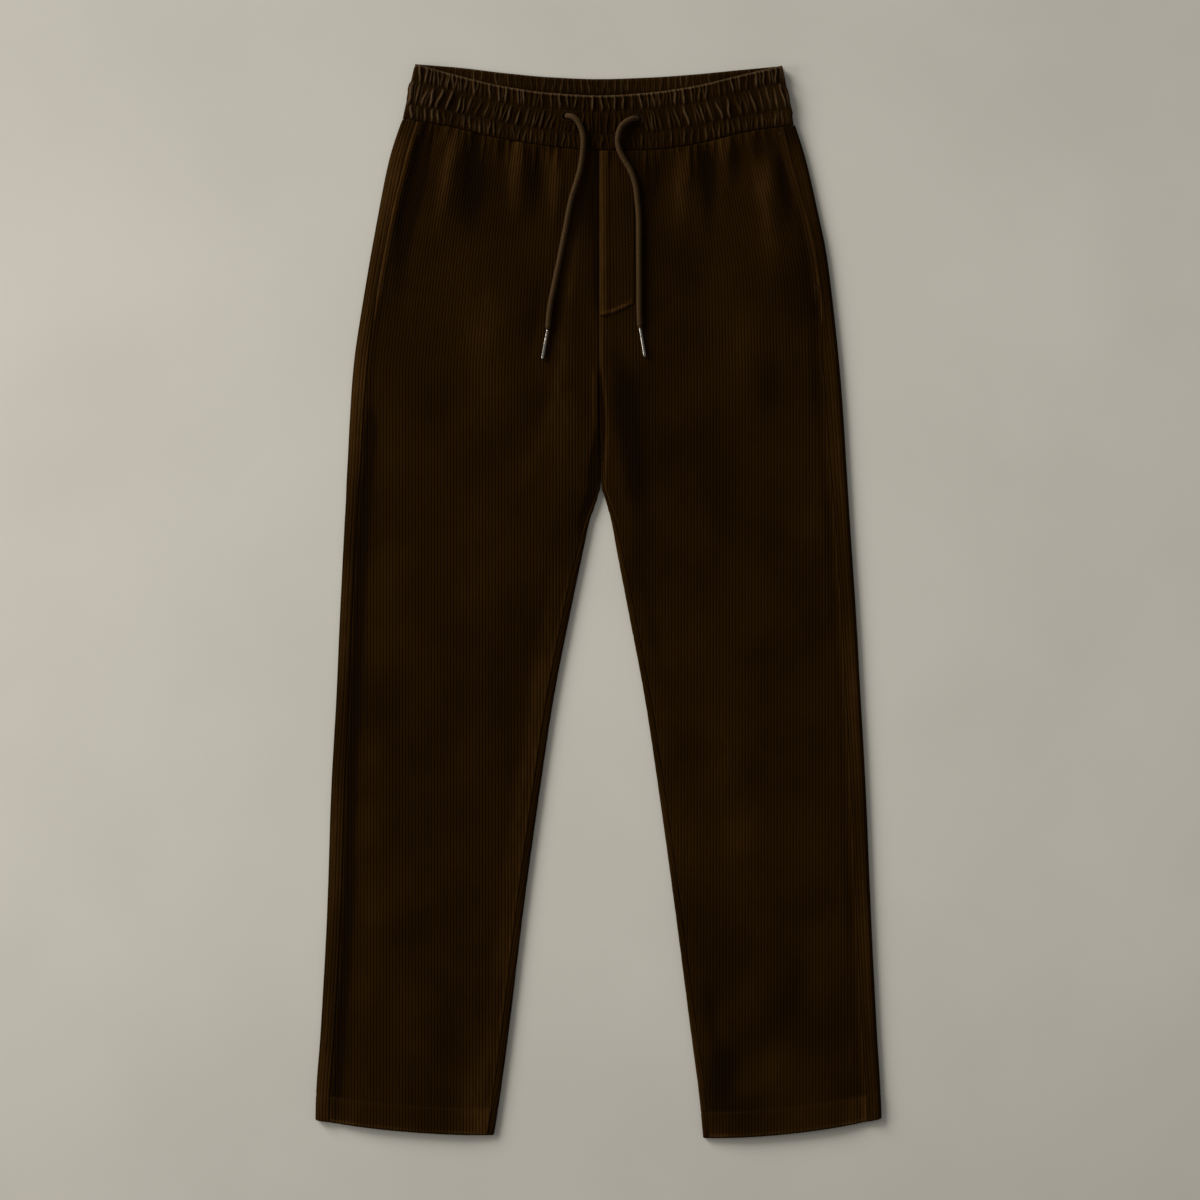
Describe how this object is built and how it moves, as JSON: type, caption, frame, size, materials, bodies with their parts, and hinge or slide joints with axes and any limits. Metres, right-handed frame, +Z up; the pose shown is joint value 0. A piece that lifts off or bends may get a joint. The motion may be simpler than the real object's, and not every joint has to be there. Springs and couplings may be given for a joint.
{
  "type": "corduroy drawstring trousers",
  "caption": "Corduroy trousers laid flat, with a gathered elastic waistband, side pockets, a sewn-down fly and a tipped drawstring.",
  "frame": {"origin": "on the surface that the garment lies on, under the middle of its outline", "axes": "+X across, to the wearer's left; +Y up the garment, from hem to waist; +Z up from the surface, out of the front"},
  "size_m": [0.5666, 1.074, 0.0151],
  "materials": {
    "corduroy": "dark brown wide-wale cotton corduroy, matt, with a soft nap",
    "drawstring": "braided cotton cord, dyed brown",
    "aglet": "satin metal tip"
  },
  "bodies": {
    "root": {"front_right": "corduroy", "front_left": "corduroy", "back_right": "corduroy", "back_left": "corduroy", "waistband_front": "corduroy", "waistband_back": "corduroy", "fly": "corduroy", "drawstring_right": "drawstring", "drawstring_left": "drawstring", "aglet_right": "aglet", "aglet_left": "aglet"}
  },
  "joints": []
}
